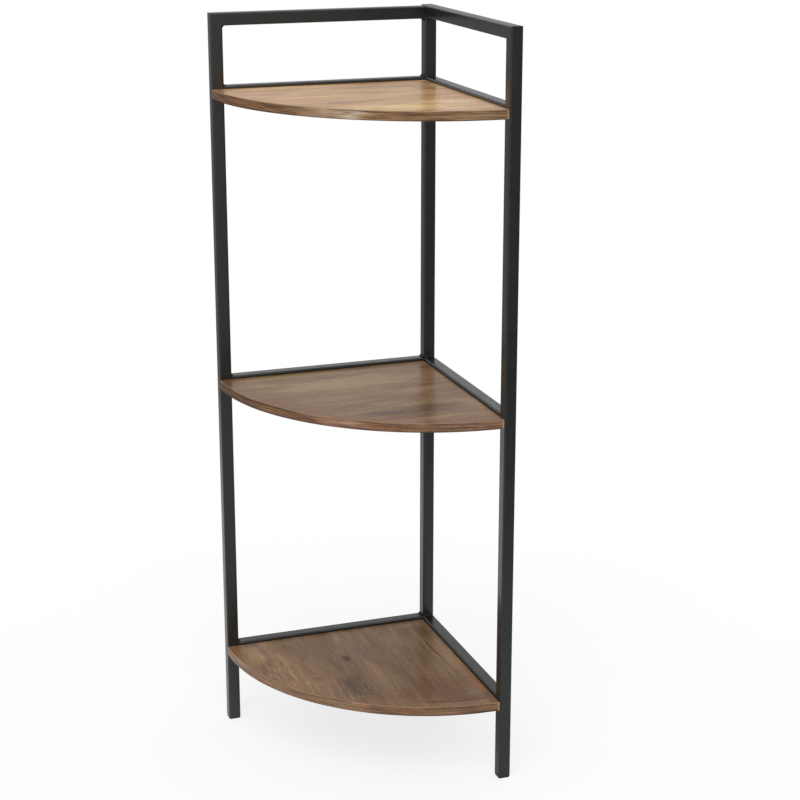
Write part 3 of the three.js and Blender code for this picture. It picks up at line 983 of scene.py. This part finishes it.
def band_decor(name, design):
    material, tree, shader = new_finish(name)
    shader.inputs["Specular IOR Level"].default_value = SATIN
    start = source(tree, "ShaderNodeUVMap", "UV", uv_map="along_band")
    plain = vector_math("MULTIPLY", start, (MM, MM, MM))
    place = vector_math("ADD", plain, (design["shift"], design["shift"], 0))
    along, up, _ = parts_of(plain)
    tone = grains(place, *BAND_TONE)
    share = (along + (tone - 0.5) * BAND_DRIFT) / BAND_LENGTH
    colour = ramp(share, [(distance / BAND_LENGTH, tint) for distance, tint in design["zones"]])
    hue = grains(place, *BAND_HUE)
    fibres = grains(place, *BAND_FIBRE)
    height = up + (tone - 0.5) * BAND_RAG
    # The last of these shades is painted shadow, darker towards the strip's lower edge.
    for shades in (ramp(hue, BAND_HUES), ramp(grains(place, *BAR_GRAIN), BAR_SHADES),
                   ramp(grains(place, *BAND_STREAK), BAND_STREAKS), varied(fibres, *BAND_FIBRES),
                   ramp(fade(height, *LOW_EDGE_SHADOW), LOW_SHADOW_SHADES)):
        colour = times(colour, shades)
    stained = fade(height, *STAINED_FROM) * fade(hue, *STAINED_HUE)
    colour = blend_colours(stained * STAINED_SHARE, colour, RIM_STAIN)
    # A painted highlight along the upper edge, and both ends made paler.
    ends = [fade(along, *PALE_ENDS), fade(along, *(BAND_LENGTH - edge for edge in PALE_ENDS))]
    highlight_and_pale_ends = math_node("MAXIMUM", fade(height, *EDGE_HIGHLIGHT_FROM), math_node("MAXIMUM", *ends))
    colour = blend_colours(highlight_and_pale_ends * HIGHLIGHT_AND_PALE_SHARE, colour, HIGHLIGHT_AND_PALE_WOOD)
    dress(shader, colour, varied(tone, *BAND_GLOSS), fibres, FILM_STRENGTH, FILM_DEPTH)
    return material


# %% Finishing boards and bands
for shelf in SHELVES:
    smooth_corners(boards[shelf])
    finished(boards[shelf], f"{shelf}_shelf_board", oak_finishes[shelf])
    smooth_corners(bands[shelf])
    band_finish = band_decor(f"{shelf}_band_decor", BAND_DESIGNS[shelf])
    finished(bands[shelf], f"{shelf}_shelf_edge_band", band_finish)
report("boards and bands", [*boards.values(), *bands.values()])

# %% [markdown]
# ## Black plastic
# The foot plugs are moulded in black polypropylene: matt, with the fine spark texture of the mould and a
# little paler where the floor has rubbed it.

# %% Plastic finish
MOULDED, RUBBED = (0.01, 0.01, 0.0105), (0.028, 0.028, 0.029)
WEAR, WEAR_STOPS = (220.0, 4.0, 0.65), (0.35, 0.75)  # spots to a metre, detail and roughness
PLASTIC_GLOSS = (0.5, 0.64)
SPARK, SPARK_STRENGTH, SPARK_DEPTH = 2400.0, 0.4, 0.00005


def moulded_plastic():
    material, tree, shader = new_finish("black_plastic")
    place = mapped(tree)
    wear = noise(place, *WEAR)
    colour = ramp(wear, list(zip(WEAR_STOPS, (MOULDED, RUBBED))))
    dress(shader, colour, varied(wear, *PLASTIC_GLOSS), noise(place, SPARK), SPARK_STRENGTH, SPARK_DEPTH)
    return material


plastic_black = moulded_plastic()
print("finish:", plastic_black.name)

# %% [markdown]
# ## Foot plugs
# A plug closes the open end of a post and stands on the floor. Its flange is a hair smaller than the
# tube, and a hollow stem with three barbed rings grips inside. It is drawn upwards from the flange: each
# step of the stem is one extrude and one resize of its end face.

# %% Modelling the plug
PLUG_INSET = 0.0003
PLUG_FLANGE = 0.0025
PLUG_EDGE = 0.0004
STEM_SIZE = 0.0116
STEM_WALL = 0.0015
BARBS = 3
BARB_SIZE = 0.0133
BARB_PITCH = 0.004
BARB_HEIGHT = 0.0025
STEM_HEIGHT = 0.014


def foot_plug():
    half = TUBE / 2 - PLUG_INSET
    plug = add_block("foot_plug_pattern", (-half, -half, 0), (half, half, PLUG_FLANGE))
    edit_mode()
    pick(plug, "edges", lambda edge: runs_along(edge, Z_AXIS))
    bevel(TUBE_CORNER, steps=4)
    round_rims(plug, PLUG_EDGE, steps=3)
    pick(plug, "faces", lambda face: face.normal.z > FACING)
    draw_up(0)
    widen(STEM_SIZE / (2 * (half - PLUG_EDGE)))
    for _ in range(BARBS):
        draw_up(BARB_PITCH - BARB_HEIGHT)
        draw_up(0)
        widen(BARB_SIZE / STEM_SIZE)
        draw_up(BARB_HEIGHT)
        widen(STEM_SIZE / BARB_SIZE)
    draw_up(STEM_HEIGHT - BARBS * BARB_PITCH)
    draw_up(0)
    widen((STEM_SIZE - 2 * STEM_WALL) / STEM_SIZE)
    draw_up(-STEM_HEIGHT)
    object_mode()
    return plug


plug_pattern = foot_plug()
for node, (low, high, _, _) in POSTS.items():
    plug_node = node.replace("post", "foot_plug")
    middle = (low + high) / 2
    plug = placed_copy(plug_pattern, plug_node + "_moulded", Matrix.Translation((middle.x, middle.y, 0)))
    smooth_corners(plug)
    finished(plug, plug_node, plastic_black)
clear_away(plug_pattern)
print("foot plugs:", len(POSTS))

# %% [markdown]
# ## Tabs
# Four small steel plates under each board are welded to the underside of the rails and take the screws.
# A block with two rounded corners is pierced for the screw by a boolean, and its fine weld bead under
# the rail is the fillet of the posts in small.

# %% Modelling the tab
TAB_LOW, TAB_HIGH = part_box("upper_left_outer_tab")
TAB_WIDTH = TAB_HIGH.x - TAB_LOW.x
TAB_THICKNESS = 0.002
TAB_REACH = 0.02
TAB_CORNER = 0.006
TAB_EDGE = 0.0002
TAB_WELD = 0.0015
TAB_WELD_SHARE = 0.94  # of the tab's width
WELD_CLEARANCE = 0.0005  # from the weld's leg to the rounded corner of the rail
TAB_OVERLAP = TUBE - TUBE_CORNER - TAB_WELD - WELD_CLEARANCE
HOLE_RADIUS = 0.00225
HOLE_PLACE = 0.01


def support_tab():
    """Its top is z = 0, the rail's inner face is y = 0 and +Y runs in under the board."""
    half = TAB_WIDTH / 2
    tab = add_block("tab_pattern", (-half, -TAB_OVERLAP, -TAB_THICKNESS), (half, TAB_REACH, 0))
    edit_mode()
    pick(tab, "edges", lambda edge: runs_along(edge, Z_AXIS) and middle_of(edge).y > 0)
    bevel(TAB_CORNER, steps=8)
    round_rims(tab, TAB_EDGE, steps=2)
    object_mode()
    pierce(tab, HOLE_RADIUS, (0, HOLE_PLACE, -TAB_THICKNESS / 2), 3 * TAB_THICKNESS)
    bead = fillet_weld("tab_weld", TAB_WELD, TAB_WIDTH * TAB_WELD_SHARE)
    bead.data.transform(corner_matrix(Vector((0, -TAB_OVERLAP, 0)), -UP, -Y_DIR))
    combine(tab, bead, "UNION")
    return tab


tab_pattern = support_tab()
report("tab", [tab_pattern])

# %% [markdown]
# ## Zinc-plated screws
# Pan-head wood screws with a cross recess, zinc plated. Zinc is a bright metal with a faint blue cast, a
# little cloudy, so the metallic base and its roughness vary in small clouds. The thread is a small
# triangle that a screw modifier winds round the core. Its base reaches into the core, so that a boolean
# can join the two.

# %% Zinc finish
ZINC_GREY, ZINC_BRIGHT = (0.42, 0.44, 0.46), (0.6, 0.61, 0.62)
ZINC_CLOUDS, ZINC_GLOSS = (700.0, 4.0, 0.6), (0.24, 0.4)  # spots to a metre, detail and roughness
CRYSTALS, CRYSTAL_STRENGTH, CRYSTAL_DEPTH = 5000.0, 0.2, 0.00002


def zinc_plate():
    material, tree, shader = new_finish("zinc_plate")
    shader.inputs["Metallic"].default_value = 1.0
    place = mapped(tree)
    cloud = noise(place, *ZINC_CLOUDS)
    colour, gloss = varied(cloud, ZINC_GREY, ZINC_BRIGHT), varied(cloud, *ZINC_GLOSS)
    dress(shader, colour, gloss, noise(place, CRYSTALS, detail=1.0), CRYSTAL_STRENGTH, CRYSTAL_DEPTH)
    return material


zinc_bright = zinc_plate()
print("finish:", zinc_bright.name)

# %% Modelling the screw
SCREW_HEAD = 0.0035  # radius
SCREW_HEAD_HEIGHT = 0.0022
SCREW_RIM = 0.0006
DOME_STEPS = 5
SCREW_SHANK = 0.00175  # radius over the thread
SCREW_CORE = 0.0012
SCREW_LENGTH = 0.011
SCREW_TIP = 0.003
TIP_SHARE = 0.05  # how blunt the point is
THREAD_PITCH = 0.0014
THREAD_TURNS = 5
THREAD_STEPS = 20
THREAD_START = 0.0009
THREAD_SIZE = 0.0004  # from the middle of the triangle to its tip
RECESS_SPAN = 0.0036
RECESS_WIDTH = 0.0009
RECESS_DEPTH = 0.0011


def wind_thread(screw):
    start_clean()
    bpy.ops.mesh.primitive_circle_add(
        vertices=3, radius=THREAD_SIZE, location=(SCREW_SHANK - THREAD_SIZE, 0, THREAD_START),
        rotation=(QUARTER, QUARTER, 0))
    thread = take_primitive("thread")
    apply_modifier(thread, "SCREW", axis="Z", screw_offset=THREAD_PITCH, iterations=THREAD_TURNS,
                   steps=THREAD_STEPS, render_steps=THREAD_STEPS)
    edit_mode()
    middle = THREAD_START + THREAD_PITCH * THREAD_TURNS / 2
    for is_end in (lambda z: z < middle, lambda z: z > middle):
        pick(thread, "edges", lambda edge: edge.is_boundary and is_end(middle_of(edge).z))
        bpy.ops.mesh.edge_face_add()
    pick_all()
    bpy.ops.mesh.normals_make_consistent(inside=False)
    object_mode()
    combine(screw, thread, "UNION")


def wood_screw():
    """The underside of its head is z = 0 and its tip points to +Z."""
    start_clean()
    bpy.ops.mesh.primitive_cylinder_add(
        vertices=ROUND_STEPS, radius=SCREW_HEAD, depth=SCREW_RIM, location=(0, 0, -SCREW_RIM / 2))
    screw = take_primitive("screw_pattern")
    edit_mode()
    pick(screw, "faces", lambda face: face.normal.z < -FACING)
    dome = SCREW_HEAD_HEIGHT - SCREW_RIM
    before, height = 1.0, 0.0
    for step in range(1, DOME_STEPS + 1):
        angle = QUARTER * step / (DOME_STEPS + 1)
        draw_up(height - dome * math.sin(angle))
        widen(math.cos(angle) / before)
        before, height = math.cos(angle), dome * math.sin(angle)
    pick(screw, "faces", lambda face: face.normal.z > FACING)
    draw_up(0)
    widen(SCREW_CORE / SCREW_HEAD)
    draw_up(SCREW_LENGTH - SCREW_TIP)
    draw_up(SCREW_TIP)
    widen(TIP_SHARE)
    object_mode()
    wind_thread(screw)
    for span_x, span_y in ((RECESS_SPAN, RECESS_WIDTH), (RECESS_WIDTH, RECESS_SPAN)):
        low = (-span_x / 2, -span_y / 2, -2 * SCREW_HEAD_HEIGHT)
        high = (span_x / 2, span_y / 2, RECESS_DEPTH - SCREW_HEAD_HEIGHT)
        combine(screw, add_block("recess", low, high), "DIFFERENCE")
    return screw


screw_pattern = wood_screw()
report("screw", [screw_pattern])

# %% Placing tabs and screws
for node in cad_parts:
    if not node.endswith("_tab"):
        continue
    low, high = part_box(node)
    on_left = "_left_" in node
    along, into_board = (X_DIR, -Y_DIR) if on_left else (Y_DIR, -X_DIR)
    inner_face = Vector((0, left_low.y, 0)) if on_left else Vector((right_low.x, 0, 0))
    foot = inner_face + along * ((low + high) / 2).dot(along)
    foot.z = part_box(node.split("_")[0] + "_shelf_board")[0].z
    matrix = corner_matrix(foot, into_board.cross(UP), into_board)
    tab = placed_copy(tab_pattern, node + "_plate", matrix)
    smooth_corners(tab)
    finished(tab, node, powder_black)
    screw_node = node.replace("_tab", "_screw")
    seat = foot + into_board * HOLE_PLACE - UP * TAB_THICKNESS
    screw = placed_copy(screw_pattern, screw_node + "_turned", Matrix.Translation(seat))
    smooth_corners(screw, degrees=30)
    finished(screw, screw_node, zinc_bright)
clear_away(tab_pattern, screw_pattern)
print("tabs and screws placed")

# %% [markdown]
# ## Studio
# The unit stands on a plain white floor. A broad soft sun gives the shape, and the world gives even light
# from all round. What the gloss mirrors is another matter: black steel looks black only because a dark
# room stands behind the camera, and its sides are bright only where they mirror the white floor. So the
# world is white to the camera, but glossy and transmitted rays meet a soft studio instead, pale behind
# the unit and darker in front of it. From below the camera looks through the floor, so that the
# underside can be seen in the light that the floor throws back.

# %% Helpers for the studio
TURN_ROUND = 0.3  # how far the change from front to back reaches to either side


def ray(tree, question):
    """1 for the rays that the question is true of, and 0 for all others."""
    return source(tree, "ShaderNodeLightPath", question)


def mix_shaders(share, first, second):
    return node_after("ShaderNodeMixShader", {0: share, 1: first, 2: second})


# %% Floor
FLOOR_SIZE = 12.0
start_clean()
bpy.ops.mesh.primitive_plane_add(size=FLOOR_SIZE, location=ORIGIN)
floor = bpy.context.object
floor.name = "floor"
floor_white, tree, shader = new_finish("white_floor")
floor.data.materials.append(floor_white)
print("floor:", FLOOR_SIZE, "m")

# %% Colour of the floor
FLOOR_WHITE = 0.96
FLOOR_ROUGHNESS = 0.9
DIM_BEHIND, DIM_IN_FRONT = (0.9, 2.2), (0.45, 1.6)  # metres at which the floor starts and ends to darken
GREY_BEHIND = 0.36
GREYS_IN_FRONT = [(0.22, 0.8), (0.34, 0.34)]  # paler towards the left, by the direction's X
MIRRORED = [(0.0, 0.5), (1.0, 0.8)]  # the share of the floor's light that gloss sees, in front and behind
place = mapped(tree, scale=(1, 1, 0))
away = vector_math("LENGTH", place)
across, depth, _ = parts_of(place)
white = (FLOOR_WHITE,) * 3
in_front = blend_colours(fade(away, *DIM_IN_FRONT), white, ramp(across / away, GREYS_IN_FRONT))
at_back = blend_colours(fade(away, *DIM_BEHIND), white, (GREY_BEHIND,) * 3)
behind = fade(depth, -TURN_ROUND, TURN_ROUND)
colour = blend_colours(behind, in_front, at_back)
duller = times(colour, ramp(behind, MIRRORED))
feed(shader.inputs["Base Color"], blend_colours(ray(tree, "Is Glossy Ray"), colour, duller))
shader.inputs["Roughness"].default_value = FLOOR_ROUGHNESS
shader.inputs["Specular IOR Level"].default_value = 0.0
print("floor darkens from", DIM_IN_FRONT[0], "m in front and", DIM_BEHIND[0], "m behind")

# %% What the camera sees of the floor
FLOOR_GLOW, GLOW_FROM = 0.75, (0.3, 1.0)  # the share of white in it, which rises to all between these metres
matt = Signal(shader.outputs["BSDF"])
paper = source(tree, "ShaderNodeEmission", inputs={"Strength": 1.0})
whiteness = ramp(fade(away, *GLOW_FROM), [(0.0, FLOOR_GLOW), (1.0, 1.0)])
from_below = source(tree, "ShaderNodeNewGeometry", "Backfacing")
glass = source(tree, "ShaderNodeBsdfTransparent")
seen = mix_shaders(from_below, mix_shaders(whiteness, matt, paper), glass)
output = next(node for node in tree.nodes if node.type == "OUTPUT_MATERIAL")
feed(output.inputs["Surface"], mix_shaders(ray(tree, "Is Camera Ray"), matt, seen))
print("floor nodes:", len(tree.nodes))

# %% World
AMBIENT = 0.65
# Brightness of the studio by height: sine of the elevation, from straight down to straight up
BEHIND = [(-1.0, 0.5), (-0.25, 0.34), (0.0, 0.32), (0.1, 0.42), (0.15, 0.52), (0.24, 0.82), (0.32, 0.85),
          (0.4, 0.5), (0.5, 0.42), (1.0, 0.6)]
IN_FRONT = [(-1.0, 0.5), (-0.2, 0.3), (0.0, 0.3), (0.3, 0.3), (1.0, 0.6)]
WINDOW_SIDE = [(0.22, 2.1), (0.36, 0.6)]  # in front it is brighter towards the left, by the direction's X
world = bpy.data.worlds.new("studio")
bpy.context.scene.world = world
world.use_nodes = True
tree = world.node_tree
tree.nodes.clear()
x, y, z = parts_of(source(tree, "ShaderNodeTexCoord", "Generated"))
level = math_node("MULTIPLY_ADD", z, 0.5, 0.5)
front, back = (ramp(level, [(sine / 2 + 0.5, grey) for sine, grey in steps]) for steps in (IN_FRONT, BEHIND))
front = times(front, ramp(x, WINDOW_SIDE))
mirrored = blend_colours(fade(y, -TURN_ROUND, TURN_ROUND), front, back)
white, even = (source(tree, "ShaderNodeBackground", inputs={"Color": (1, 1, 1, 1), "Strength": strength})
               for strength in (1.0, AMBIENT))
soft = node_after("ShaderNodeBackground", {"Color": mirrored, "Strength": 1.0})
glossy = math_node("MAXIMUM", ray(tree, "Is Glossy Ray"), ray(tree, "Is Transmission Ray"))
shown = mix_shaders(ray(tree, "Is Camera Ray"), mix_shaders(glossy, even, soft), white)
feed(tree.nodes.new("ShaderNodeOutputWorld").inputs["Surface"], shown)
print("world:", world.name)

# %% Lamp
SUN_SHARE = 0.5
SUN_TILT = (math.radians(38), math.radians(-22), 0)
SUN_WIDTH = math.radians(50)
sun_data = bpy.data.lights.new("soft_sun", "SUN")
sun_data.energy = math.pi * SUN_SHARE
sun_data.angle = SUN_WIDTH
sun = bpy.data.objects.new("soft_sun", sun_data)
sun.rotation_euler = SUN_TILT
bpy.context.scene.collection.objects.link(sun)
print("sun share:", SUN_SHARE)

# %% [markdown]
# ## Camera
# The camera stands a little to the left and well above the middle, looking down on the unit through a
# long lens, as in the photograph.

# %% Camera
CAMERA_PLACE = (-0.7501, -2.2515, 1.2069)
CAMERA_YAW = 0.3425
CAMERA_PITCH = 0.2927
FOCAL_PIXELS = 1917.8
IMAGE_WIDTH = 800
SENSOR = 36.0
camera_data = bpy.data.cameras.new("camera")
camera_data.sensor_width = SENSOR
camera_data.lens = FOCAL_PIXELS / IMAGE_WIDTH * SENSOR
camera = bpy.data.objects.new("camera", camera_data)
camera.location = CAMERA_PLACE
camera.rotation_euler = (QUARTER - CAMERA_PITCH, 0, -CAMERA_YAW)
bpy.context.scene.collection.objects.link(camera)
bpy.context.scene.camera = camera
bpy.context.scene.view_settings.view_transform = "Standard"
print("lens:", round(camera_data.lens, 1), "mm")
